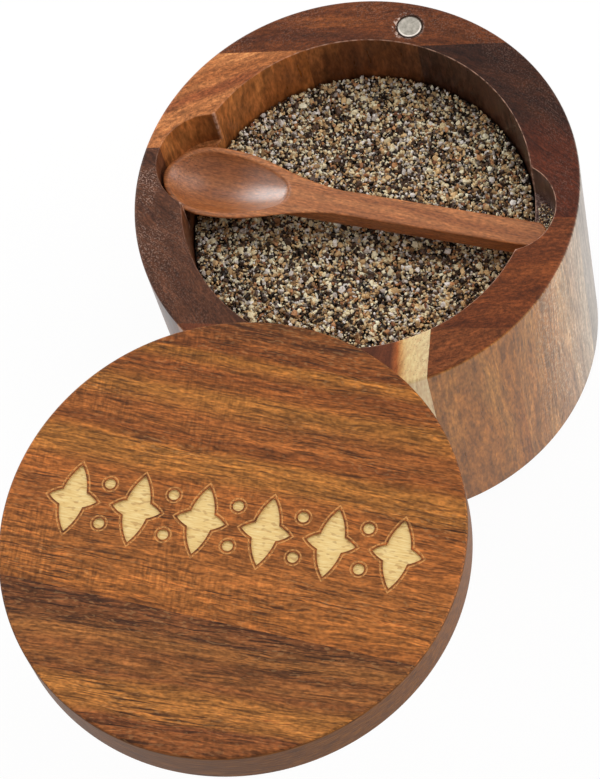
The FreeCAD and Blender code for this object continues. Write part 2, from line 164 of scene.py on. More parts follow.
class Finish:
    """A material while its nodes are laid."""

    def __init__(self, name):
        self.material = bpy.data.materials.new(name)
        self.material.use_nodes = True
        self.tree = self.material.node_tree
        self.shader = self.tree.nodes["Principled BSDF"]

    def feed(self, node, sockets):
        for key, value in sockets.items():
            if isinstance(value, Wire):
                self.tree.links.new(value.socket, node.inputs[key])
            else:
                node.inputs[key].default_value = value

    def node(self, kind, settings=None, sockets=None, out=0):
        """Adds a node: its settings come first, then the values or links of its sockets."""
        node = self.tree.nodes.new(kind)
        for key, value in (settings or {}).items():
            if key == "stops":
                self.set_stops(node.color_ramp.elements, value)
            else:
                setattr(node, key, value)
        self.feed(node, sockets or {})
        return Wire(self, node.outputs[out])

    def set_stops(self, elements, stops):
        while len(elements) < len(stops):
            elements.new(1.0)
        for element, (place, colour) in zip(elements, stops):
            element.position = place
            element.color = colour

    def coordinates(self, centre=(0, 0, 0), turn=0.0):
        """Millimetres along the three axes of a frame with its own centre and turn."""
        place = self.node("ShaderNodeTexCoord", out="Object")
        back = Matrix.Rotation(-turn, 3, "Z") @ Vector(centre)
        turned = self.node(
            "ShaderNodeMapping",
            {"vector_type": "POINT"},
            {"Vector": place, "Location": -back, "Rotation": (0, 0, -turn), "Scale": (1000, 1000, 1000)},
        )
        return self.apart(turned)

    def apart(self, vector):
        node = self.tree.nodes.new("ShaderNodeSeparateXYZ")
        self.feed(node, {0: vector})
        return [Wire(self, output) for output in node.outputs]

    def upward(self):
        """How far the surface faces straight up or down."""
        return self.apart(self.node("ShaderNodeTexCoord", out="Normal"))[2]

    def vector(self, x, y, z):
        return self.node("ShaderNodeCombineXYZ", sockets={0: x, 1: y, 2: z})

    def noise(self, x, y, z, detail=2.0, roughness=0.5):
        sockets = {"Vector": self.vector(x, y, z), "Scale": 1.0, "Detail": detail, "Roughness": roughness}
        return self.node("ShaderNodeTexNoise", sockets=sockets)

    def cells(self, x, y, z, out="Distance"):
        sockets = {"Vector": self.vector(x, y, z), "Scale": 1.0}
        return self.node("ShaderNodeTexVoronoi", sockets=sockets, out=out)

    def rise(self, value, start, end):
        """A soft step from 0 at start to 1 at end."""
        settings = {"interpolation_type": "SMOOTHSTEP"}
        return self.node("ShaderNodeMapRange", settings, {"Value": value, "From Min": start, "From Max": end})

    def mix(self, share, first, second, blend="MIX"):
        settings = {"data_type": "RGBA", "blend_type": blend}
        return self.node("ShaderNodeMix", settings, {0: share, 6: first, 7: second}, out=2)

    def ramp(self, value, low, high, stops):
        """Colours at given places between low and high."""
        share = (value - low) / (high - low)
        placed = [((place - low) / (high - low), colour) for place, colour in stops]
        return self.node("ShaderNodeValToRGB", {"stops": placed}, {0: share})

    def relief(self, height, distance, strength=1.0):
        return self.node(
            "ShaderNodeBump", sockets={"Height": height, "Distance": distance, "Strength": strength}, out="Normal"
        )

    def wear(self, **sockets):
        """Sets the main shader's sockets, with blanks in their names as underscores."""
        self.feed(self.shader, {key.replace("_", " "): value for key, value in sockets.items()})
        return self.material


def pores(finish, along, across, around, length, width, amount):
    """Short dark vessel dashes along the grain, and dots where the grain ends."""
    span = (along / length, across / width, around / width)
    near = finish.cells(*span)
    chance = finish.apart(finish.cells(*span, out="Color"))[0]
    shown = chance < amount
    return shown * (1 - finish.rise(near, 0.14, 0.27))


def contrast(finish, colour, value, share, low=104, high=214, reach=0.22):
    """Darkens and lightens a colour with a value around one half."""
    grey = finish.ramp(value, 0, 1, ((0.5 - reach, tone(low, low, low)), (0.5 + reach, tone(high, high, high))))
    return finish.mix(share, colour, grey, "OVERLAY")


def lid_wood(name, bands, turn, streak_share, ripple_share, dark):
    """Planed long grain across the lid, with the carved ornament on top."""
    finish = Finish(name)
    along, across, height = finish.coordinates((0, LID_CENTRE, 0), turn)
    upward = abs(finish.upward())
    wander = finish.noise(along * 0.018, across * 0.09, height * 0.02, 3.0) - 0.5
    waver = finish.noise(along * 0.09, across * 0.5, height * 0.1, 2.0) - 0.5
    line = across + wander * 4.0 + waver * 1.4
    colour = finish.ramp(line, -52, 52, bands)
    depth_of_band = finish.rise(finish.apart(colour)[0], 0.36, 0.25)
    broad = finish.noise(along * 0.035, line * 0.6, height * 0.3, 4.0, 0.62)
    colour = contrast(finish, colour, broad, 0.5)
    patches = finish.noise(along * 0.03, across * 0.13, 7.3, 2.0)
    dense = finish.rise(patches, 0.46, 0.66).most(depth_of_band)
    streaks = finish.noise(along * 0.055, line * 1.15, height * 0.5, 5.0, 0.66)
    colour = finish.mix(finish.rise(streaks, 0.54, 0.64) * (0.1 + dense * 0.55) * streak_share, colour, dark)
    threads = finish.noise(along * 0.09 + 31.0, line * 2.1, height * 1.5, 1.0, 0.5)
    colour = finish.mix(finish.rise(threads, 0.55, 0.63) * (0.3 + dense * 0.6) * streak_share * 0.85, colour, dark)
    fibres = finish.noise(along * 0.14, line * 2.0, height * 3.0, 2.0, 0.6)
    colour = contrast(finish, colour, fibres, 0.55, 74, 232, 0.17)
    speckle = finish.noise(along * 0.8, line * 2.3, height * 3.0, 1.0, 0.6)
    colour = contrast(finish, colour, speckle, 0.4, 66, 236, 0.17)
    glints = finish.rise(finish.noise(along * 0.8 + 9.0, line * 2.4, height * 3.0, 0.0), 0.62, 0.72)
    colour = finish.mix(glints * (0.08 + dense * 0.16), colour, tone(196, 148, 98))
    left_side = finish.rise(along + across * 0.4, 26.0, -22.0)
    ripple = finish.noise(along * 1.7 + across * 0.2, across * 0.3, height * 0.2, 2.0)
    calm = finish.rise(finish.noise(along * 0.05 + 4.0, across * 0.09, 1.7, 1.0), 0.36, 0.58)
    curl = 0.5 + (ripple - 0.5) * (0.25 + left_side * 0.75) * calm * ripple_share
    colour = contrast(finish, colour, curl, 0.6)
    dashes = pores(finish, along, line, height, 19.0, 0.85, 0.85)
    small_dashes = pores(finish, along + 40.0, line, height, 8.0, 0.7, 0.8)
    marks = dashes.most(small_dashes * 0.9) * (0.65 + dense * 0.35)
    colour = finish.mix(marks * 0.9, colour, tone(60, 33, 19))
    side = 1 - finish.rise(upward, 0.35, 0.8)
    edge_fibres = finish.noise(along * 0.12, across * 0.5, height * 2.0, 4.0, 0.6)
    edge_tones = ((0.3, tone(66, 36, 8)), (0.5, tone(100, 57, 12)), (0.7, tone(132, 80, 20)))
    colour = finish.mix(side * 0.95, colour, finish.ramp(edge_fibres, 0, 1, edge_tones))
    colour, carved = lid_ornament(finish, colour)
    height_map = fibres * 0.3 - marks * 0.8 + curl * 0.2
    return finish.wear(
        Base_Color=colour,
        Roughness=0.5 + fibres * 0.14 + carved * 0.15 - side * 0.08,
        Normal=finish.relief(height_map * (1 - carved), 0.00006, 0.7),
        Specular_IOR_Level=0.16,
    )


def leaf(finish, x, y, length, bulge):
    """How far outside a pointed leaf a place is, for a leaf along y."""
    radius = (length * length + bulge * bulge) / (2 * bulge)
    centre = radius - bulge
    return ((x + centre) ** 2.0 + y**2.0) ** 0.5 - radius


def lid_ornament(finish, colour):
    """Pale hatched leaves and dots with a scorched double contour."""
    along, across, height = finish.coordinates((0, LID_CENTRE + ORNAMENT_RISE, 0), ORNAMENT_TILT)
    fold = {"operation": "PINGPONG"}
    beside = finish.node("ShaderNodeMath", fold, {0: along, 1: MOTIF_PITCH / 2})
    inside_row = abs(along) < MOTIFS * MOTIF_PITCH / 2
    from_motif = MOTIF_PITCH / 2 - beside
    upright = leaf(finish, from_motif, abs(across), LEAF_HEIGHT, LEAF_HEIGHT_BULGE)
    level = leaf(finish, abs(across), from_motif, LEAF_WIDTH, LEAF_WIDTH_BULGE)
    dot = (beside**2.0 + (abs(across) - DOT_HEIGHT) ** 2.0) ** 0.5 - DOT_RADIUS
    inner_row = abs(along) < (MOTIFS - 1) * MOTIF_PITCH / 2
    outside = upright.least(level).least(dot + (1 - inner_row) * 50.0) + (1 - inside_row) * 50.0
    on_top = height > LID_TOP - 1.0
    floor = (1 - finish.rise(outside, -0.06, 0.06)) * on_top
    grain = finish.noise(along * 0.25, across * 3.2, 0.0, 3.0, 0.65)
    pale = finish.ramp(grain, 0.2, 0.8, ((0.2, tone(202, 158, 92)), (0.45, tone(226, 192, 126)), (0.7, tone(238, 214, 156))))
    hatch = finish.rise(finish.noise(along * 0.5, across * 1.15, 5.0, 1.0), 0.56, 0.66)
    pale = finish.mix(hatch * 0.4, pale, tone(150, 92, 42))
    colour = finish.mix(floor, colour, pale)
    line = (1 - finish.rise(abs(outside - 0.62), 0.08, 0.2)) * on_top
    colour = finish.mix(line * 0.75, colour, tone(214, 152, 88))
    beads = finish.rise(finish.noise(along * 1.7, across * 1.7, 2.0, 0.0), 0.5, 0.6)
    scorched = (1 - finish.rise(abs(outside - 0.62), 0.03, 0.13)) * beads * on_top
    scorched = scorched.most((1 - finish.rise(abs(outside - 0.16), 0.04, 0.16)) * 0.8 * on_top)
    colour = finish.mix(scorched * 0.75, colour, tone(78, 36, 14))
    return colour, floor


def block_wood(name, side_tones, end_tones, ring_turn=0.0, ring_bend=0.0, streak=None, streak_share=0.5, sheen_flecks=0.0, bands=None, at_magnet=False, dusty=False, figure=1.0):
    """Oiled upright grain: long grain on the walls and end grain on the rim."""
    finish = Finish(name)
    along_glue, across_glue, height = finish.coordinates((0, 0, 0), GRAIN_TURN)
    turn_cos = math.cos(ring_turn)
    turn_sin = math.sin(ring_turn)
    around = along_glue * turn_cos + across_glue * turn_sin
    ring = across_glue * turn_cos - along_glue * turn_sin + around * around * ring_bend
    wander = finish.noise(around * 0.05, ring * 0.08, height * 0.012, 3.0) - 0.5
    line = ring + wander * 6.0
    upward = finish.rise(abs(finish.upward()), 0.35, 0.8)
    broad = finish.noise(around * 0.04, line * 0.22, height * 0.012, 3.0, 0.55)
    side_colour = finish.ramp(broad, 0.3, 0.7, [(0.3 + 0.4 * share, hue) for share, hue in zip((0, 0.5, 1), side_tones)])
    end_colour = finish.ramp(broad, 0.3, 0.7, [(0.3 + 0.4 * share, hue) for share, hue in zip((0, 0.5, 1), end_tones)])
    if bands:
        end_colour, side_colour = bands(finish, along_glue, across_glue, height, end_colour, side_colour)
    colour = finish.mix(upward, side_colour, end_colour)
    if streak:
        veins = finish.noise(around * 0.06, line * 0.5, height * 0.02, 4.0, 0.6)
        colour = finish.mix(finish.rise(veins, 0.5, 0.66) * streak_share, colour, streak)
    fibres = finish.noise(around * 0.55, line * 2.1, height * 0.1, 2.0, 0.6)
    colour = contrast(finish, colour, fibres, 0.42 * figure, 72, 230, 0.18)
    rays = finish.noise(around * 0.22, line * 1.1, height * 0.05, 3.0, 0.65)
    colour = contrast(finish, colour, rays, 0.41 * figure, 84, 222, 0.2)
    speckle = finish.noise(around * 1.6, line * 1.9, height * 0.5, 1.0, 0.6)
    colour = contrast(finish, colour, speckle, 0.34 * figure, 70, 230, 0.18)
    dashes = pores(finish, height, around + 13.0, line, 9.0, 0.8, 0.45)
    short_dashes = pores(finish, height + 20.0, around + 57.0, line, 4.0, 0.6, 0.5)
    dashes = dashes.most(short_dashes * 0.8)
    colour = finish.mix(dashes * (0.22 + upward * 0.23), colour, tone(52, 29, 18))
    x, y, _ = finish.coordinates()
    from_axis = (x * x + y * y) ** 0.5
    # Painted sheen: pale flecks on the end grain, strongest near the rim's outer edge and weaker towards the front.
    if sheen_flecks:
        specks = finish.rise(finish.noise(around * 2.3, line * 2.8, height * 0.1, 1.0, 0.6), 0.5, 0.66)
        cloud = finish.rise(finish.noise(around * 0.13, line * 0.13, height * 0.05, 2.0), 0.3, 0.55)
        shine = cloud * (0.35 + finish.rise(from_axis, 42.0, 48.5) * 0.65) * (0.25 + finish.rise(y, -36.0, -12.0) * 0.75)
        colour = finish.mix(specks * shine * upward * sheen_flecks, colour, tone(182, 148, 132))
    if at_magnet:
        colour = torn_grain(finish, colour, upward)
    if dusty:
        colour = notch_dust(finish, colour, x, y, height, from_axis)
    # Painted highlights along the broken edges, and painted shade beside the notch corners.
    colour = painted_edge_highlights_and_shade(finish, colour, x, y, height, from_axis)
    bump = fibres * 0.3 - dashes * 0.8
    return finish.wear(
        Base_Color=colour,
        Roughness=0.24 + fibres * 0.12 + upward * 0.22,
        Normal=finish.relief(bump, 0.00006, 0.6),
        Specular_IOR_Level=0.16,
    )


def torn_grain(finish, colour, upward):
    """The dark ring of glue round the magnet, and pale fibres torn up beside it."""
    x, y, _ = finish.coordinates((*RIM_MAGNET, 0))
    outside = (x * x + y * y) ** 0.5 - MAGNET_BORE
    ring = 1 - finish.rise(abs(outside - 0.1), 0.12, 0.34)
    colour = finish.mix(ring * upward * 0.8, colour, tone(44, 26, 19))
    torn = finish.rise(finish.noise(x * 1.1, y * 1.1, 3.0, 3.0, 0.7), 0.5, 0.58)
    left = finish.rise(x, -0.8, -2.4)
    near = 1 - finish.rise(outside - left * 0.5, 0.2, 0.8)
    return finish.mix(torn * near * (0.2 + left * 0.5) * (outside > 0.1) * upward, colour, tone(216, 188, 172))


def notch_dust(finish, colour, x, y, height, from_axis):
    """Fine grey-pink pepper dust that has settled in the handle notch."""
    in_notch = (from_axis < BODY_RADIUS - 3) * (from_axis > MOUTH_RADIUS) * (height < BODY_HEIGHT - 1.5)
    settled = finish.rise(height, LEDGE + 6.0, LEDGE + 1.0) * in_notch * (y > 2.0) * (x > 30.0)
    fine = finish.noise(x * 2.2, y * 2.2, height * 2.2, 3.0, 0.7)
    dust = finish.ramp(fine, 0.35, 0.65, ((0.35, tone(52, 38, 34)), (0.5, tone(104, 82, 76)), (0.65, tone(172, 150, 138))))
    return finish.mix(settled * 0.8, colour, dust)


def painted_edge_highlights_and_shade(finish, colour, x, y, height, from_axis):
    """A painted highlight line where sanding broke the mouth's edges and the notches' corners, and painted shade on the
    notch walls next to those corners.
    """
    slope = abs(finish.upward())
    turned_edge = finish.rise(slope, 0.3, 0.6) * (1 - finish.rise(slope, 0.8, 0.95))
    on_rim = (height > BODY_HEIGHT - 2).most((height > LEDGE - 2) * (x > 0))
    # How strong the painted highlight line is, broken up by noise.
    highlight_share = 0.15 + finish.rise(finish.noise(x * 0.6, y * 0.6, height * 0.8, 3.0), 0.38, 0.62) * 0.65
    # Painted highlight on the rounded rim edges, stronger towards the right and back.
    edge = turned_edge * (from_axis < BODY_RADIUS - 2) * on_rim * (0.25 + finish.rise(x + y * 0.5, -24.0, 4.0) * 0.75)
    for notch in (BOWL_NOTCH, HANDLE_NOTCH):
        way, half, _ = notch_angles(notch)
        for corner_way in (way - half, way + half):
            corner_x = MOUTH_RADIUS * math.cos(corner_way)
            corner_y = MOUTH_RADIUS * math.sin(corner_way)
            from_corner = ((x - corner_x) ** 2.0 + (y - corner_y) ** 2.0) ** 0.5
            # Painted shade on the notch wall beside each corner.
            in_notch = (from_axis > MOUTH_RADIUS + 0.1) * (1 - finish.rise(from_corner, 1.5, 6.0)) * (1 - slope)
            colour = finish.mix(in_notch * (height < BODY_HEIGHT - 0.5) * 0.35, colour, tone(70, 36, 20))
            # Painted highlight on each notch's upright corner.
            edge = edge.most((1 - finish.rise(from_corner, 0.25, 0.7)) * (height > LEDGE))
    return finish.mix(edge * highlight_share, colour, tone(196, 154, 132))


def sapwood_bands(finish, along, across, height, end_colour, side_colour):
    """Heartwood that turns through orange to pale sapwood beside the butt joint."""
    drift = (finish.noise(along * 0.12, across * 0.12, height * 0.02, 2.0) - 0.5) * 2.5
    place = along + drift + (across + 40) * 0.12
    stops = ((11.0, tone(92, 50, 33)), (12.6, tone(168, 92, 46)), (13.6, tone(206, 156, 96)), (15.0, tone(218, 192, 138)), (19.0, tone(222, 200, 152)))
    share = finish.rise(place, 10.4, 11.8)
    pale = finish.ramp(place, 10, 20, stops)
    return finish.mix(share, end_colour, pale), finish.mix(share, side_colour, finish.mix(0.5, pale, tone(214, 190, 154)))


def right_back_bands(finish, along, across, height, end_colour, side_colour):
    """Dark at the back, redder towards the handle notch, and pale grey outside: partly the wood's tone, partly painted
    sheen from the light at the right.
    """
    share = finish.rise(across + (finish.noise(along * 0.1, across * 0.1, height * 0.02) - 0.5) * 10, 21.0, 9.0)
    outside = finish.rise((along * along + across * across) ** 0.5, 47.0, 49.0)
    # Paler outer wall: partly the wood's tone, partly painted sheen.
    pale = finish.mix(finish.rise(across, 20.0, 38.0) * 0.85, tone(154, 141, 128), tone(122, 80, 56))
    return finish.mix(share * 0.85, end_colour, tone(92, 40, 21)), finish.mix(outside, side_colour, pale)


def back_bands(finish, along, across, height, end_colour, side_colour):
    """The mouth's wall turns darker and greyer towards the right."""
    return end_colour, finish.mix(finish.rise(along, -12.0, 24.0) * 0.75, side_colour, tone(84, 54, 40))


def left_back_bands(finish, along, across, height, end_colour, side_colour):
    """Two slanting dark red veins through the golden end grain."""
    slant = across - along * 0.42 + (finish.noise(along * 0.08, across * 0.15, height * 0.01, 3.0) - 0.5) * 5
    near = abs(slant - 41.0) / 2.1
    far = abs(slant - 33.0) / 1.1
    vein = (1 - finish.rise(near, 0.2, 1.5)).most((1 - finish.rise(far, 0.2, 1.5)) * 0.4)
    return finish.mix(vein * 0.75, end_colour, tone(138, 66, 34)), side_colour


def right_front_bands(finish, along, across, height, end_colour, side_colour):
    """Lighter and redder beside the spoon's handle; on the wall paler towards the right, partly the wood's tone and
    partly painted sheen from the light at the right.
    """
    share = finish.rise(across + (finish.noise(along * 0.1, across * 0.1, height * 0.02) - 0.5) * 6, -20.0, -8.0)
    outside = finish.rise((along * along + across * across) ** 0.5, 47.0, 49.0)
    # Paler wall towards the right: partly the wood's tone, partly painted sheen.
    pale = outside * finish.rise(across, -30.0, -4.0)
    side_colour = finish.mix(pale * 0.74, side_colour, tone(180, 168, 150))
    pits = finish.rise(finish.noise(along * 1.7, across * 1.7, height * 1.2, 1.0), 0.5, 0.58)
    patch = 0.35 + finish.rise(finish.noise(along * 0.1, across * 0.16, height * 0.03, 2.0), 0.4, 0.55) * 0.65
    side_colour = finish.mix(outside * pits * patch * finish.rise(across, -34.0, -24.0) * 0.3, side_colour, tone(208, 196, 172))
    return finish.mix(share * 0.5, end_colour, tone(122, 65, 36)), side_colour


def spoon_wood():
    """Fine straight grain along the spoon, painted shade in its hollow, and a glossy coat towards the hollow's end."""
    finish = Finish("spoon wood")
    along, across, height = finish.coordinates((0, 0, 0), math.radians(-1.6))
    wander = finish.noise(along * 0.03, across * 0.12, height * 0.1, 2.0) - 0.5
    line = across + wander * 2.5
    broad = finish.noise(along * 0.02, line * 0.5, height * 0.25, 3.0)
    colour = finish.ramp(broad, 0.25, 0.75, ((0.25, tone(146, 84, 44)), (0.5, tone(166, 100, 55)), (0.75, tone(182, 116, 68))))
    streaks = finish.noise(along * 0.04, line * 2.0, height * 1.4, 5.0, 0.62)
    colour = finish.mix(finish.rise(streaks, 0.53, 0.66) * 0.35, colour, tone(112, 58, 28))
    fibres = finish.noise(along * 0.16, line * 2.2, height * 2.0, 4.0, 0.68)
    colour = contrast(finish, colour, fibres, 0.55, 90, 230)
    speckle = finish.noise(along * 0.9, line * 2.3, height * 2.3, 1.0, 0.6)
    colour = contrast(finish, colour, speckle, 0.35, 80, 232, 0.17)
    dashes = pores(finish, along, line, height, 9.0, 0.6, 0.5)
    colour = finish.mix(dashes * 0.5, colour, tone(84, 42, 20))
    bump = fibres * 0.3 - dashes * 0.6 + speckle * 0.4
    x, _, z = finish.coordinates()
    hollow = finish.rise(z, SPOON_TOP - 0.2, SPOON_TOP - 0.8) * finish.rise(finish.upward(), 0.1, 0.5) * (x < -15.8)
    # Painted shade: the hollow's colour darkened.
    colour = finish.mix(hollow * 0.2, colour, tone(118, 66, 36))
    hollow = hollow * (0.08 + finish.rise(x, -32.0, -22.0) * 0.92)
    return finish.wear(
        Base_Color=colour,
        Roughness=0.36 + fibres * 0.1,
        Normal=finish.relief(bump, 0.00012, 0.8),
        Specular_IOR_Level=0.5,
        Coat_Weight=hollow,
        Coat_Roughness=0.36,
        Coat_IOR=2.2,
    )


def grain_finish(name, dark, light, rough=0.7):
    """One colour family of crushed peppercorn, each grain with its own shade."""
    finish = Finish(name)
    shade = finish.node("ShaderNodeAttribute", {"attribute_name": "shade"}, out="Fac")
    x, y, z = finish.coordinates()
    spots = finish.noise(x * 2.6, y * 2.6, z * 2.6, 2.0)
    colour = finish.ramp(shade * 0.75 + spots * 0.25, 0, 1, ((0.1, dark), (0.9, light)))
    return finish.wear(
        Base_Color=colour,
        Roughness=rough,
        Normal=finish.relief(spots, 0.0002, 0.5),
        Specular_IOR_Level=0.35,
    )


def nickel(name, centre):
    """Dull plated nickel with fine scratches, a painted highlight on its chamfer towards the right and front, and
    painted shade on the chamfer's outer ring, wider at the back.
    """
    finish = Finish(name)
    x, y, z = finish.coordinates((*centre, 0))
    clouds = finish.noise(x * 0.9, y * 0.9, z * 0.9, 4.0, 0.6)
    scratches = finish.noise(x * 1.2 + y * 5.0, y * 0.8 - x * 0.4, z, 3.0)
    colour = finish.ramp(clouds, 0.3, 0.7, ((0.3, tone(146, 141, 131)), (0.7, tone(198, 191, 179))))
    from_middle = (x * x + y * y) ** 0.5
    # Painted highlight on the chamfer ring, mostly towards the right and front.
    edge = finish.rise(from_middle, 2.3, 2.5) * (1 - finish.rise(from_middle, 2.66, 2.78))
    highlight_share = finish.rise(x * 0.3 - y * 0.45 + finish.noise(x * 0.5, y * 0.5, 6.0, 1.0) * 2.0, 0.6, 1.6)
    colour = finish.mix(edge * highlight_share, colour, tone(240, 230, 220))
    # Painted shade on the chamfer's outer ring, wider at the back where the recess shades the disc.
    painted_chamfer_shade = finish.rise(from_middle + finish.rise(y, 0.0, 3.0) * 0.2, 2.68, 2.8)
    colour = finish.mix(painted_chamfer_shade * 0.85, colour, tone(62, 46, 38))
    return finish.wear(
        Base_Color=colour,
        Metallic=0.85,
        Roughness=0.3 + clouds * 0.25 + scratches * 0.1,
        Normal=finish.relief(scratches, 0.00002, 0.5),
    )


def pin_steel():
    """Drawn steel with faint lines round the pin."""
    finish = Finish("pin steel")
    x, y, z = finish.coordinates()
    lines = finish.noise(x * 0.4, y * 0.4, z * 9.0, 3.0)
    colour = finish.ramp(lines, 0.3, 0.7, ((0.3, tone(186, 186, 188)), (0.7, tone(214, 214, 214))))
    return finish.wear(Base_Color=colour, Metallic=1.0, Roughness=0.28 + lines * 0.2, Normal=finish.relief(lines, 0.00002, 0.4))


def circle(radius, count, centre=(0.0, 0.0)):
    return [
        (centre[0] + radius * math.cos(math.tau * step / count), centre[1] + radius * math.sin(math.tau * step / count))
        for step in range(count)
    ]


def arc(centre, radius, start, end, count):
    """Points evenly along an arc, without its last."""
    steps = [start + (end - start) * step / count for step in range(count)]
    return [(centre[0] + radius * math.cos(step), centre[1] + radius * math.sin(step)) for step in steps]


def level_points(mesh, outline, height):
    return [mesh.verts.new((x * MM, y * MM, height * MM)) for x, y in outline]


def skin(mesh, lower, upper):
    """Faces between two closed rows of points."""
    for step in range(len(lower)):
        after = (step + 1) % len(lower)
        mesh.faces.new((lower[step], lower[after], upper[after], upper[step]))


def notch_angles(notch):
    """A notch's direction, and its half-angles seen from the axis and from its own centre."""
    x, y, radius = notch
    reach = math.hypot(x, y)
    from_axis = (MOUTH_RADIUS**2 + reach**2 - radius**2) / (2 * MOUTH_RADIUS * reach)
    from_notch = (reach**2 + radius**2 - MOUTH_RADIUS**2) / (2 * reach * radius)
    return math.atan2(y, x), math.acos(from_axis), math.pi - math.acos(from_notch)


def turned_form():
    """The whole body before it is parted: outer wall, mouth, two notches, cavity and floor."""
    mesh = bmesh.new()
    handle_way, handle_half, handle_span = notch_angles(HANDLE_NOTCH)
    bowl_way, bowl_half, bowl_span = notch_angles(BOWL_NOTCH)
    axis = (0.0, 0.0)
    back = arc(axis, MOUTH_RADIUS, handle_way + handle_half, bowl_way - bowl_half, 120)
    bowl = arc(BOWL_NOTCH[:2], BOWL_NOTCH[2], bowl_way - bowl_span, bowl_way + bowl_span, 48)
    bowl_sill = arc(axis, MOUTH_RADIUS, bowl_way - bowl_half, bowl_way + bowl_half, 32)
    front = arc(axis, MOUTH_RADIUS, bowl_way + bowl_half, math.tau + handle_way - handle_half, 120)
    handle = arc(HANDLE_NOTCH[:2], HANDLE_NOTCH[2], handle_way - handle_span, handle_way + handle_span, 44)
    handle_sill = arc(axis, MOUTH_RADIUS, handle_way - handle_half, handle_way + handle_half, 28)

    rim = level_points(mesh, back + bowl + front + handle, BODY_HEIGHT)
    low = level_points(mesh, back + bowl + front + handle, LEDGE)
    skin(mesh, rim, low)
    backs = low[:120]
    bowls = low[120:168]
    fronts = low[168:288]
    handles = low[288:]
    bowl_sills = [bowls[0]] + level_points(mesh, bowl_sill[1:], LEDGE)
    handle_sills = [handles[0]] + level_points(mesh, handle_sill[1:], LEDGE)
    mesh.faces.new(bowls + [fronts[0]] + bowl_sills[:0:-1])
    mesh.faces.new(handles + [backs[0]] + handle_sills[:0:-1])
    mouth = backs + bowl_sills + fronts + handle_sills
    wall_foot = [mesh.verts.new((v.co.x, v.co.y, (CAVITY_FLOOR + FLOOR_CORNER) * MM)) for v in mouth]
    skin(mesh, mouth, wall_foot)
    inward = (MOUTH_RADIUS - FLOOR_CORNER) / MOUTH_RADIUS
    floor = [mesh.verts.new((v.co.x * inward, v.co.y * inward, CAVITY_FLOOR * MM)) for v in mouth]
    skin(mesh, wall_foot, floor)
    mesh.faces.new(floor)

    count = 288
    rings = [(BODY_RADIUS - FOOT_CHAMFER, 0.0), (BODY_RADIUS, FOOT_CHAMFER)]
    for step in range(7):
        swing = math.pi / 2 * step / 6
        inset = RIM_ROUNDING * (1 - math.cos(swing))
        rings.append((BODY_RADIUS - inset, BODY_HEIGHT - RIM_ROUNDING * (1 - math.sin(swing))))
    rows = [level_points(mesh, circle(radius, count), height) for radius, height in rings]
    mesh.faces.new(rows[0][::-1])
    for lower, upper in zip(rows, rows[1:]):
        skin(mesh, lower, upper)
    outer = rows[-1]
    seams = [60, 144, 228, 310]
    ends = [min(range(count), key=lambda index: (outer[index].co - rim[seam].co).length) for seam in seams]
    for seam, end, next_seam, next_end in zip(seams, ends, seams[1:] + seams[:1], ends[1:] + ends[:1]):
        inner_run = [rim[index % len(rim)] for index in range(seam, (next_seam if next_seam > seam else next_seam + len(rim)) + 1)]
        last = next_end if next_end > end else next_end + count
        outer_run = [outer[index % count] for index in range(end, last + 1)]
        mesh.faces.new(outer_run + inner_run[::-1])

    edged = set()
    for run in (rim, ):
        for step in range(len(run)):
            edged.add(mesh.edges.get((run[step], run[(step + 1) % len(run)])))
    for run in (bowl_sills + [fronts[0]], handle_sills + [backs[0]]):
        for first, second in zip(run, run[1:]):
            edged.add(mesh.edges.get((first, second)))
    bmesh.ops.recalc_face_normals(mesh, faces=mesh.faces[:])
    bmesh.ops.bevel(
        mesh,
        geom=list(edged),
        offset=MOUTH_ROUNDING * MM,
        offset_type="OFFSET",
        segments=4,
        profile=0.5,
        affect="EDGES",
        clamp_overlap=False,
    )
    return mesh


def keep_side(mesh, joint, keep_more):
    """Saws a form along a glue joint and closes the cut."""
    way, offset = joint
    normal = Vector((math.cos(way), math.sin(way), 0))
    bmesh.ops.bisect_plane(
        mesh,
        geom=mesh.verts[:] + mesh.edges[:] + mesh.faces[:],
        dist=1e-8,
        plane_co=normal * offset * MM,
        plane_no=normal,
        clear_inner=keep_more,
        clear_outer=not keep_more,
    )
    open_edges = [edge for edge in mesh.edges if edge.is_boundary]
    bmesh.ops.holes_fill(mesh, edges=open_edges, sides=0)


def finish_piece(name, mesh, material, sharp=35.0):
    """A named object from a mesh, smooth but for its sharp edges."""
    if isinstance(mesh, bmesh.types.BMesh):
        data = bpy.data.meshes.new(name)
        bmesh.ops.recalc_face_normals(mesh, faces=mesh.faces[:])
        mesh.to_mesh(data)
        mesh.free()
    else:
        data = mesh
    piece = bpy.data.objects.new(name, data)
    bpy.context.scene.collection.objects.link(piece)
    data.materials.clear()
    data.materials.append(material)
    if sharp:
        data.polygons.foreach_set("use_smooth", [True] * len(data.polygons))
        data.set_sharp_from_angle(angle=math.radians(sharp))
        flat = piece.modifiers.new("level faces", "WEIGHTED_NORMAL")
        flat.keep_sharp = True
    return piece


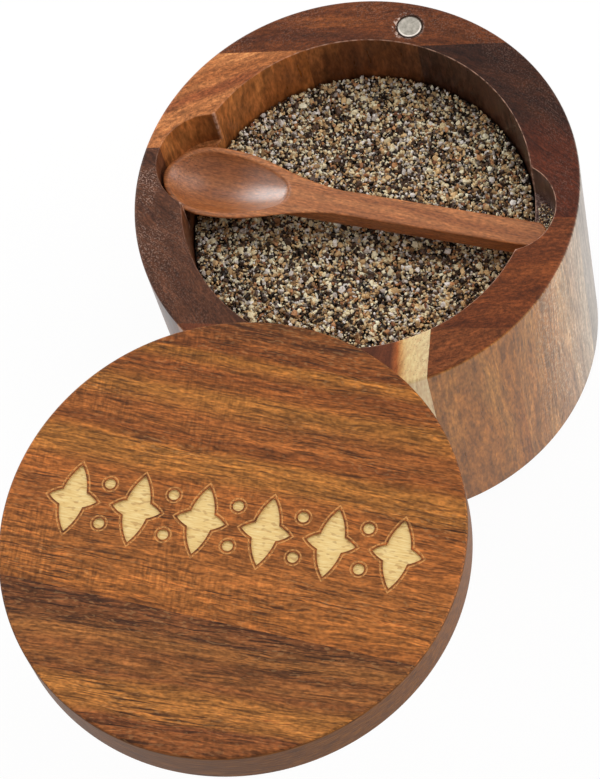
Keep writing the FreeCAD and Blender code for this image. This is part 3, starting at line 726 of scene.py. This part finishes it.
def cut_away(piece, tools):
    """Takes tool shapes out of a piece."""
    for tool in tools:
        cutter = piece.modifiers.new("cut", "BOOLEAN")
        cutter.operation = "DIFFERENCE"
        cutter.solver = "EXACT"
        cutter.object = tool
    piece.modifiers.move(0, len(piece.modifiers) - 1) if piece.modifiers[0].type == "WEIGHTED_NORMAL" else None
    view = bpy.context.evaluated_depsgraph_get()
    weighted = [modifier for modifier in piece.modifiers if modifier.type == "WEIGHTED_NORMAL"]
    for modifier in weighted:
        modifier.show_viewport = False
    view.update()
    cut = bpy.data.meshes.new_from_object(piece.evaluated_get(view))
    material = piece.data.materials[0]
    cut.materials.clear()
    cut.materials.append(material)
    old = piece.data
    for modifier in [modifier for modifier in piece.modifiers if modifier.type == "BOOLEAN"]:
        piece.modifiers.remove(modifier)
    piece.data = cut
    bpy.data.meshes.remove(old)
    cut.polygons.foreach_set("use_smooth", [True] * len(cut.polygons))
    cut.polygons.foreach_set("material_index", [0] * len(cut.polygons))
    cut.set_sharp_from_angle(angle=math.radians(35))
    for modifier in weighted:
        modifier.show_viewport = True
    for tool in tools:
        bpy.data.objects.remove(tool)


def prism(outline, low, high):
    """A straight-sided tool shape over an outline."""
    mesh = bmesh.new()
    bottom = level_points(mesh, outline, low)
    top = level_points(mesh, outline, high)
    skin(mesh, bottom, top)
    mesh.faces.new(bottom[::-1])
    mesh.faces.new(top)
    bmesh.ops.recalc_face_normals(mesh, faces=mesh.faces[:])
    data = bpy.data.meshes.new("tool")
    mesh.to_mesh(data)
    mesh.free()
    tool = bpy.data.objects.new("tool", data)
    bpy.context.scene.collection.objects.link(tool)
    return tool


def place_on(piece, body, slot, *nodes):
    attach(piece, body)
    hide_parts(*nodes)


def body_blocks():
    """The seven glued blocks, each its own piece with its own wood."""
    golden = block_wood(
        "golden block",
        (tone(154, 91, 45), tone(177, 108, 56), tone(193, 125, 69)),
        (tone(165, 97, 52), tone(188, 118, 68), tone(206, 136, 81)),
        ring_turn=math.radians(24),
        streak=tone(158, 84, 40),
        streak_share=0.35,
        bands=left_back_bands,
    )
    reddish = block_wood(
        "reddish brown block",
        (tone(121, 69, 37), tone(144, 87, 48), tone(163, 103, 56)),
        (tone(84, 43, 20), tone(106, 54, 25), tone(127, 68, 31)),
        ring_bend=0.003,
        streak=tone(78, 37, 21),
        sheen_flecks=0.15,
        bands=back_bands,
        at_magnet=True,
    )
    dark = block_wood(
        "dark block",
        (tone(86, 50, 33), tone(106, 63, 42), tone(129, 81, 53)),
        (tone(71, 39, 25), tone(89, 52, 33), tone(106, 64, 44)),
        ring_turn=math.radians(-50),
        ring_bend=0.004,
        streak=tone(57, 30, 23),
        sheen_flecks=0.6,
    )
    dark_red = block_wood(
        "dark red block",
        (tone(62, 36, 26), tone(82, 52, 38), tone(100, 70, 54)),
        (tone(43, 21, 13), tone(54, 27, 16), tone(68, 35, 19)),
        ring_turn=math.radians(-6),
        ring_bend=0.006,
        streak=tone(45, 22, 16),
        sheen_flecks=0.12,
        bands=right_back_bands,
        dusty=True,
    )
    red = block_wood(
        "red block",
        (tone(138, 87, 43), tone(160, 107, 56), tone(176, 127, 73)),
        (tone(92, 44, 20), tone(114, 57, 26), tone(132, 69, 33)),
        ring_turn=math.radians(8),
        streak=tone(86, 42, 22),
        streak_share=0.3,
        bands=right_front_bands,
        dusty=True,
    )
    sapwood = block_wood(
        "sapwood block",
        (tone(134, 82, 50), tone(157, 102, 63), tone(173, 117, 75)),
        (tone(88, 46, 28), tone(105, 55, 33), tone(121, 66, 39)),
        ring_turn=math.radians(80),
        streak=tone(94, 49, 30),
        streak_share=0.12,
        bands=sapwood_bands,
        figure=0.45,
    )
    brown = block_wood(
        "mid brown block",
        (tone(141, 87, 41), tone(160, 103, 49), tone(172, 118, 60)),
        (tone(104, 56, 28), tone(124, 66, 33), tone(140, 79, 41)),
        ring_turn=math.radians(15),
        streak=tone(129, 77, 44),
        streak_share=0.3,
    )
    blocks = {
        "back_block": (reddish, "reddish_brown_block", ((BACK_JOINT, True),)),
        "left_back_block": (golden, "golden_block", ((MIDDLE_JOINT, False), (LEFT_JOINT, True), (BACK_JOINT, False))),
        "left_front_block": (dark, "dark_block", ((MIDDLE_JOINT, False), (FRONT_JOINT, True), (LEFT_JOINT, False))),
        "right_back_block": (dark_red, "dark_red_block", ((MIDDLE_JOINT, True), (RIGHT_JOINT, True), (BACK_JOINT, False))),
        "right_front_block": (red, "red_block", ((MIDDLE_JOINT, True), (FRONT_JOINT, True), (RIGHT_JOINT, False))),
        "front_sapwood_block": (sapwood, "sapwood_block", ((BUTT_JOINT, False), (FRONT_JOINT, False))),
        "front_block": (brown, "mid_brown_block", ((BUTT_JOINT, True), (FRONT_JOINT, False))),
    }
    form = turned_form()
    for node, (material, slot, cuts) in blocks.items():
        block = form.copy()
        for joint, keep_more in cuts:
            keep_side(block, joint, keep_more)
        piece = finish_piece("turned_" + node, block, material)
        if node == "back_block":
            cut_away(piece, [prism(circle(MAGNET_BORE, 96, RIM_MAGNET), BODY_HEIGHT - MAGNET_DEPTH, BODY_HEIGHT + 1)])
        if node == "front_sapwood_block":
            cut_away(piece, [prism(circle(PIN_BORE, 64, PIN_PLACE), BODY_HEIGHT - 18, BODY_HEIGHT + 1)])
        place_on(piece, "root", slot, node)
    form.free()


def leaf_reach(way, length, bulge):
    """How far a pointed leaf along y reaches from its centre, in a direction from the x axis."""
    radius = (length * length + bulge * bulge) / (2 * bulge)
    centre = radius - bulge
    x = abs(math.cos(way))
    y = abs(math.sin(way))
    return -centre * x + math.sqrt((centre * x) ** 2 + radius**2 - centre**2) if x or y else 0.0


def motif_outline():
    """The outline of one pair of crossed leaves."""
    outline = []
    for step in range(144):
        way = math.tau * step / 144
        reach = max(
            leaf_reach(way, LEAF_HEIGHT, LEAF_HEIGHT_BULGE),
            leaf_reach(way + math.pi / 2, LEAF_WIDTH, LEAF_WIDTH_BULGE),
        )
        outline.append((reach * math.cos(way), reach * math.sin(way)))
    return outline


def on_lid(outline, along, across):
    """Sets an ornament's outline in its place on the lid."""
    tilt_cos = math.cos(ORNAMENT_TILT)
    tilt_sin = math.sin(ORNAMENT_TILT)
    placed = []
    for x, y in outline:
        over = x + along
        up = y + across
        placed.append((over * tilt_cos - up * tilt_sin, LID_CENTRE + ORNAMENT_RISE + over * tilt_sin + up * tilt_cos))
    return placed


def lid_boards():
    """The lid's two glued boards, with the ornament carved into the wide one."""
    wide_bands = (
        (-20.5, tone(172, 100, 46)), (-17.0, tone(184, 111, 51)), (-8.0, tone(178, 107, 50)), (0.0, tone(175, 102, 47)),
        (9.0, tone(176, 102, 46)), (12.0, tone(185, 117, 52)), (16.5, tone(188, 120, 53)), (18.5, tone(157, 89, 38)),
        (20.0, tone(151, 84, 38)), (22.0, tone(175, 102, 47)), (25.5, tone(165, 95, 44)), (27.5, tone(177, 109, 49)),
        (30.5, tone(182, 116, 51)), (33.0, tone(163, 93, 41)), (36.5, tone(148, 81, 36)), (38.5, tone(173, 106, 46)),
        (40.0, tone(181, 114, 48)), (41.5, tone(142, 77, 34)), (44.0, tone(151, 86, 39)), (47.0, tone(134, 76, 36)),
        (50.0, tone(138, 80, 36)),
    )
    narrow_bands = (
        (-50.0, tone(149, 86, 44)), (-47.0, tone(157, 91, 45)), (-44.5, tone(145, 82, 43)), (-43.0, tone(188, 119, 56)),
        (-39.0, tone(195, 127, 60)), (-36.5, tone(179, 113, 53)), (-35.0, tone(150, 88, 45)), (-33.0, tone(159, 98, 49)),
        (-30.0, tone(154, 92, 47)), (-27.0, tone(168, 106, 53)), (-24.5, tone(139, 85, 45)), (-22.0, tone(132, 78, 41)),
        (-19.5, tone(136, 80, 43)),
    )
    wide = lid_wood("wide lid board", wide_bands, math.radians(1.0), 0.75, 1.0, tone(80, 44, 26))
    narrow = lid_wood("narrow lid board", narrow_bands, math.radians(4.5), 1.0, 0.3, tone(62, 36, 24))
    form = bmesh.new()
    profile = []
    for step in range(7):
        swing = math.pi / 2 * step / 6
        profile.append((LID_RADIUS - LID_ROUNDING * (1 - math.sin(swing)), LID_BOTTOM + LID_ROUNDING * (1 - math.cos(swing))))
    profile += [(radius, LID_TOP + LID_BOTTOM - height) for radius, height in profile[::-1]]
    rows = [level_points(form, circle(radius, 288, (0.0, LID_CENTRE)), height) for radius, height in profile]
    form.faces.new(rows[0][::-1])
    for lower, upper in zip(rows, rows[1:]):
        skin(form, lower, upper)
    form.faces.new(rows[-1])
    bmesh.ops.recalc_face_normals(form, faces=form.faces[:])
    tools = []
    for number in range(MOTIFS):
        along = (number - (MOTIFS - 1) / 2) * MOTIF_PITCH
        tools.append(on_lid(motif_outline(), along, 0.0))
        if number:
            for across in (-DOT_HEIGHT, DOT_HEIGHT):
                tools.append(on_lid(circle(DOT_RADIUS, 40), along - MOTIF_PITCH / 2, across))
    carving = [prism(outline, LID_TOP - ORNAMENT_DEPTH, LID_TOP + 1) for outline in tools]
    for name, material, slot, keep_more in (
        ("lid_wide_board", wide, "wide_board", True),
        ("lid_narrow_board", narrow, "narrow_board", False),
    ):
        board = form.copy()
        keep_side(board, LID_JOINT, keep_more)
        piece = finish_piece("planed_" + name, board, material)
        if keep_more:
            bore = prism(circle(PIN_BORE, 64, PIN_PLACE), LID_BOTTOM - 1, LID_BOTTOM + 7.5)
            cut_away(piece, carving + [bore])
        else:
            cut_away(piece, [prism(circle(MAGNET_BORE, 96, LID_MAGNET), LID_BOTTOM - 1, LID_BOTTOM + MAGNET_DEPTH)])
        place_on(piece, "lid", slot, name)
    form.free()


def carved_spoon():
    """The spoon, with every edge broken by hand sanding."""
    mesh = bmesh.new()
    mesh.from_mesh(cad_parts["spoon"].data)
    bmesh.ops.remove_doubles(mesh, verts=mesh.verts[:], dist=1e-6)
    piece = finish_piece("carved_spoon", mesh, spoon_wood(), sharp=None)
    shaping = piece.modifiers.new("shaping", "REMESH")
    shaping.mode = "VOXEL"
    shaping.voxel_size = 0.00022
    sanding = piece.modifiers.new("sanding", "SMOOTH")
    sanding.factor = 0.5
    sanding.iterations = 9
    view = bpy.context.evaluated_depsgraph_get()
    view.update()
    shaped = bpy.data.meshes.new_from_object(piece.evaluated_get(view))
    piece.modifiers.clear()
    piece.data = shaped
    shaped.materials.clear()
    shaped.materials.append(bpy.data.materials["spoon wood"])
    shaped.polygons.foreach_set("use_smooth", [True] * len(shaped.polygons))
    place_on(piece, "spoon", "spoon_wood", "spoon")


def pepper_bed():
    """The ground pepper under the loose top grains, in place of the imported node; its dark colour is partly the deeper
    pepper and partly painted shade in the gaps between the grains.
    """
    chance = np.random.default_rng(5)
    mesh = bmesh.new()
    count = 96
    rows = []
    for step in range(20):
        radius = PEPPER_RADIUS * (step + 1) / 20
        rows.append([
            mesh.verts.new((x * MM, y * MM, (PEPPER_LEVEL - 0.9 + chance.uniform(-0.25, 0.25)) * MM))
            for x, y in circle(radius, count)
        ])
    centre = mesh.verts.new((0, 0, (PEPPER_LEVEL - 0.9) * MM))
    for step in range(count):
        mesh.faces.new((centre, rows[0][step], rows[0][(step + 1) % count]))
    for lower, upper in zip(rows, rows[1:]):
        skin(mesh, lower, upper)
    low = level_points(mesh, circle(PEPPER_RADIUS, count), CAVITY_FLOOR + FLOOR_CORNER)
    foot = level_points(mesh, circle(PEPPER_RADIUS - FLOOR_CORNER, count), CAVITY_FLOOR + 0.1)
    skin(mesh, rows[-1], low)
    skin(mesh, low, foot)
    mesh.faces.new(foot)
    # Painted shade: the bed's dark colour darkens the gaps between the grains.
    bed = finish_piece("pepper_bed", mesh, grain_finish("pepper bed", tone(26, 21, 17), tone(70, 58, 44)), sharp=None)
    place_on(bed, "root", "pepper", "ground_pepper")


def mound_rise(x, y):
    """How high the low mounds in rings lift the pepper at a place."""
    highest = 0.0
    for ring in range(4):
        count = max(ring * MOUNDS_ROUND_MIDDLE, 1)
        first = math.radians(ring * MOUND_TWIST)
        near = first + round((math.atan2(-y, x) - first) / math.tau * count) * math.tau / count
        gap = math.hypot(x - ring * MOUND_SPACING * math.cos(near), y + ring * MOUND_SPACING * math.sin(near))
        share = (MOUND_WIDTH / 2 - gap) / (MOUND_WIDTH / 2 - 1.2)
        highest = max(highest, min(share, 1.0))
    return highest * MOUND_HEIGHT


def clumping(x, y):
    """Where the dark skins lie thicker or thinner: a wide wave and a narrow one."""
    wide = math.sin(x * 0.42 + 1.3 * math.sin(y * 0.31)) * math.cos(y * 0.48 + math.sin(x * 0.27 + 1.0))
    narrow = math.sin(x * 1.9 + 2.0 * math.sin(y * 0.8)) * math.cos(y * 1.7 + 2.0 * math.sin(x * 0.7))
    return wide * 0.36 + narrow * 0.34


def grain_places(chance):
    """Where the loose grains lie: two jittered layers and a few on the handle notch's ledge."""
    places = []
    for level, spacing, share in ((PEPPER_LEVEL - 0.28, 0.70, 1.0), (PEPPER_LEVEL + 0.24, 0.70, 0.85)):
        rows = int(2 * PEPPER_RADIUS / (spacing * 0.866)) + 2
        columns = int(2 * PEPPER_RADIUS / spacing) + 2
        for row in range(rows):
            for column in range(columns):
                x = -PEPPER_RADIUS + (column + 0.5 * (row % 2)) * spacing + chance.normal(0, 0.17)
                y = -PEPPER_RADIUS + row * spacing * 0.866 + chance.normal(0, 0.17)
                size = min(max(0.37 * math.exp(chance.normal(0, 0.34)), 0.18), 0.9)
                if math.hypot(x, y) < PEPPER_RADIUS - size and chance.random() < share:
                    places.append((x, y, level + mound_rise(x, y) + chance.normal(0, 0.16), size))
    for _ in range(1500):
        way = chance.uniform(-1.25, 0.95)
        reach = chance.uniform(5.0, 10.9)
        x = HANDLE_NOTCH[0] + reach * math.cos(way)
        y = HANDLE_NOTCH[1] + reach * math.sin(way)
        size = chance.uniform(0.08, 0.26)
        if math.hypot(x, y) > MOUTH_RADIUS + 0.8 and not -5.5 < y < 3.6:
            places.append((x, y, LEDGE + size * 0.8, size))
    return places


def loose_grains():
    """Crushed peppercorns: many small angular chips in the colours of the real mix."""
    chance = np.random.default_rng(11)
    base = bmesh.new()
    bmesh.ops.create_icosphere(base, subdivisions=1, radius=1.0)
    corners = np.array([vert.co[:] for vert in base.verts])
    faces = np.array([[vert.index for vert in face.verts] for face in base.faces])
    base.free()
    kinds = (
        ("black", 0.30, grain_finish("black pepper skin", tone(16, 12, 10), tone(100, 76, 61), 0.35)),
        ("tan", 0.23, grain_finish("tan pepper", tone(132, 99, 66), tone(240, 202, 147))),
        ("cream", 0.25, grain_finish("cream pepper core", tone(222, 196, 148), tone(255, 250, 220))),
        ("grey", 0.16, grain_finish("grey pepper core", tone(160, 146, 134), tone(255, 248, 240))),
        ("red", 0.08, grain_finish("red pepper skin", tone(128, 80, 56), tone(218, 160, 108))),
    )
    points = {name: [] for name, _, _ in kinds}
    limits = np.cumsum([share for _, share, _ in kinds])
    for x, y, z, size in grain_places(chance):
        draw = chance.random() ** math.exp(clumping(x, y))
        pick = min(int(np.searchsorted(limits, draw * limits[-1])), len(kinds) - 1)
        chip = corners * chance.uniform(0.6, 1.35, (len(corners), 1))
        stretch = chance.uniform(0.5, 1.3, 3)
        turn, _ = np.linalg.qr(chance.normal(size=(3, 3)))
        chip = (chip * stretch) @ turn * size + (x, y, z)
        points[kinds[pick][0]].append((chip, chance.random()))
    for name, _, material in kinds:
        chips = points[name]
        cloud = np.concatenate([chip for chip, _ in chips]) * MM
        shades = np.repeat([shade for _, shade in chips], len(corners))
        loops = (faces[None] + len(corners) * np.arange(len(chips))[:, None, None]).reshape(-1, 3)
        data = bpy.data.meshes.new(name + "_pepper_grains")
        data.from_pydata(cloud.tolist(), [], loops.tolist())
        shade = data.attributes.new("shade", "FLOAT", "POINT")
        shade.data.foreach_set("value", shades.astype(np.float32))
        piece = finish_piece(name + "_pepper_grains", data, material, sharp=None)
        place_on(piece, "root", "pepper", "ground_pepper")


def hardware():
    """Finishes for the pin and the two disc magnets, which keep their own solids."""
    finishes = {
        "rim_magnet": nickel("rim magnet nickel", RIM_MAGNET),
        "lid_magnet": nickel("lid magnet nickel", LID_MAGNET),
        "pivot_pin": pin_steel(),
    }
    for node, material in finishes.items():
        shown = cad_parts[node]
        shown.data.materials.clear()
        shown.data.materials.append(material)


def floor_and_light():
    """A plain white table, a soft overcast room and three broad lamps."""
    table = Finish("white table")
    tree = table.tree
    path = table.node("ShaderNodeLightPath", out="Is Camera Ray")
    glossy = table.node("ShaderNodeLightPath", out="Is Glossy Ray")
    seen = path.most(glossy)
    grain = table.noise(*table.coordinates(), detail=1.0)
    table.wear(Base_Color=table.ramp(grain, 0, 1, ((0.3, tone(249, 249, 249)), (0.7, tone(251, 251, 251)))), Roughness=0.9)
    glow = tree.nodes.new("ShaderNodeEmission")
    glow.inputs["Strength"].default_value = 1.0
    both = tree.nodes.new("ShaderNodeMixShader")
    table.feed(both, {0: seen * 0.94})
    tree.links.new(table.shader.outputs[0], both.inputs[1])
    tree.links.new(glow.outputs[0], both.inputs[2])
    tree.links.new(both.outputs[0], tree.nodes["Material Output"].inputs["Surface"])
    mesh = bmesh.new()
    mesh.faces.new(level_points(mesh, circle(4000.0, 64), 0.0))
    floor = finish_piece("white_table", mesh, table.material, sharp=None)

    room = bpy.data.worlds.new("room")
    bpy.context.scene.world = room
    room.use_nodes = True
    nodes = room.node_tree.nodes
    links = room.node_tree.links
    sky = nodes["Background"]
    place = nodes.new("ShaderNodeTexCoord")
    parts = nodes.new("ShaderNodeSeparateXYZ")
    dimming = nodes.new("ShaderNodeMapRange")
    dimming.inputs["From Max"].default_value = 0.8
    dimming.inputs["To Min"].default_value = 0.9
    dimming.inputs["To Max"].default_value = 0.38
    light_path = nodes.new("ShaderNodeLightPath")
    seen = nodes.new("ShaderNodeMath")
    seen.operation = "MAXIMUM"
    sky.inputs["Color"].default_value = (1.0, 0.985, 0.965, 1.0)
    links.new(place.outputs["Generated"], parts.inputs[0])
    links.new(parts.outputs["Z"], dimming.inputs["Value"])
    links.new(dimming.outputs[0], seen.inputs[0])
    links.new(light_path.outputs["Is Camera Ray"], seen.inputs[1])
    links.new(seen.outputs[0], sky.inputs["Strength"])

    lamps = (
        ("overhead_lamp", (0.45, 0.28, 0.95), 0.8, 4.2),
        ("left_lamp", (-0.88, 0.42, 0.62), 0.95, 8.6),
        ("right_lamp", (0.95, 0.30, 0.22), 0.7, 6.0),
    )
    for name, place, width, power in lamps:
        light = bpy.data.lights.new(name, "AREA")
        light.shape = "SQUARE"
        light.size = width
        light.energy = power
        lamp = bpy.data.objects.new(name, light)
        lamp.location = place
        aim = Vector((0, -0.04, 0.05)) - Vector(place)
        lamp.rotation_euler = aim.to_track_quat("-Z", "Y").to_euler()
        bpy.context.scene.collection.objects.link(lamp)


def camera():
    """The camera: from the front right, high up, and rolled."""
    turn = math.radians(32.347)
    lift = math.radians(62.663)
    roll = math.radians(-17.970)
    away = Vector((math.sin(turn) * math.cos(lift), -math.cos(turn) * math.cos(lift), math.sin(lift)))
    level = Vector((math.cos(turn), math.sin(turn), 0))
    upright = away.cross(level)
    across = math.cos(roll) * level + math.sin(roll) * upright
    up = -math.sin(roll) * level + math.cos(roll) * upright
    place = Vector((-0.003501, -0.042740, 0.050)) + away * 0.717577
    lens = bpy.data.cameras.new("camera")
    lens.sensor_fit = "AUTO"
    lens.sensor_width = 36.0
    lens.lens = 146.0
    lens.clip_start = 0.01
    eye = bpy.data.objects.new("camera", lens)
    frame_axes = Matrix((across, up, away)).transposed()
    eye.matrix_world = Matrix.Translation(place) @ frame_axes.to_4x4()
    bpy.context.scene.collection.objects.link(eye)
    bpy.context.scene.camera = eye


camera()
floor_and_light()
body_blocks()
lid_boards()
carved_spoon()
pepper_bed()
loose_grains()
hardware()

bpy.context.scene.view_settings.view_transform = "Standard"
